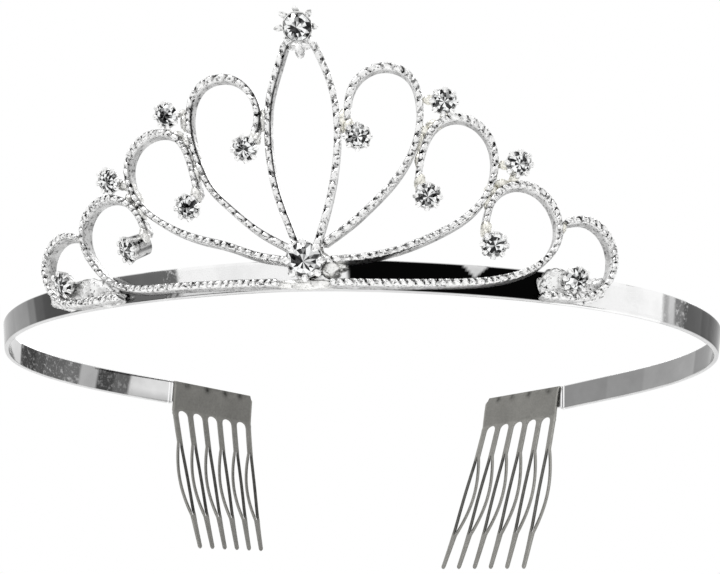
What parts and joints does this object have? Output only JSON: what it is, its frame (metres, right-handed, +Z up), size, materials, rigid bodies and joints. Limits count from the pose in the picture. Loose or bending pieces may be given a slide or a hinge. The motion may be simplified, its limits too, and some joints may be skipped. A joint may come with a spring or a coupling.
{
  "type": "tiara",
  "caption": "Silver rhinestone tiara: a flat springy headband with a folded hair comb on each end and an openwork crown of curled milled wires carrying crystals in claw cups.",
  "frame": {"origin": "middle of the head opening, level with the middle of the headband's height and with the place where the headband is widest", "axes": "+X to the right of someone who looks at the front, +Y from the crown towards the combs, +Z up; the front faces -Y"},
  "size_m": [0.143, 0.1106, 0.082],
  "materials": {
    "silver_plate": "polished silver-coloured plating",
    "comb_steel": "dull grey stamped sheet",
    "crystal": "clear faceted crystal, foiled behind"
  },
  "bodies": {
    "root": {"headband": "silver_plate", "comb_left": "comb_steel", "comb_right": "comb_steel", "centre_leaf_left": "silver_plate", "inner_arch_left": "silver_plate", "middle_arch_left": "silver_plate", "outer_arch_left": "silver_plate", "end_scroll_left": "silver_plate", "centre_leaf_right": "silver_plate", "inner_arch_right": "silver_plate", "middle_arch_right": "silver_plate", "outer_arch_right": "silver_plate", "end_scroll_right": "silver_plate", "cup_upper_junction_left": "silver_plate", "cup_lower_junction_left": "silver_plate", "cup_inner_drop_left": "silver_plate", "cup_middle_drop_left": "silver_plate", "cup_outer_drop_left": "silver_plate", "cup_end_left": "silver_plate", "cup_upper_junction_right": "silver_plate", "cup_lower_junction_right": "silver_plate", "cup_inner_drop_right": "silver_plate", "cup_middle_drop_right": "silver_plate", "cup_outer_drop_right": "silver_plate", "cup_end_right": "silver_plate", "cup_top": "silver_plate", "cup_centre": "silver_plate", "crystal_upper_junction_left": "crystal", "crystal_lower_junction_left": "crystal", "crystal_inner_drop_left": "crystal", "crystal_middle_drop_left": "crystal", "crystal_outer_drop_left": "crystal", "crystal_end_left": "crystal", "crystal_upper_junction_right": "crystal", "crystal_lower_junction_right": "crystal", "crystal_inner_drop_right": "crystal", "crystal_middle_drop_right": "crystal", "crystal_outer_drop_right": "crystal", "crystal_end_right": "crystal", "crystal_top": "crystal", "crystal_centre": "crystal", "centre_solder": "silver_plate"}
  },
  "joints": []
}
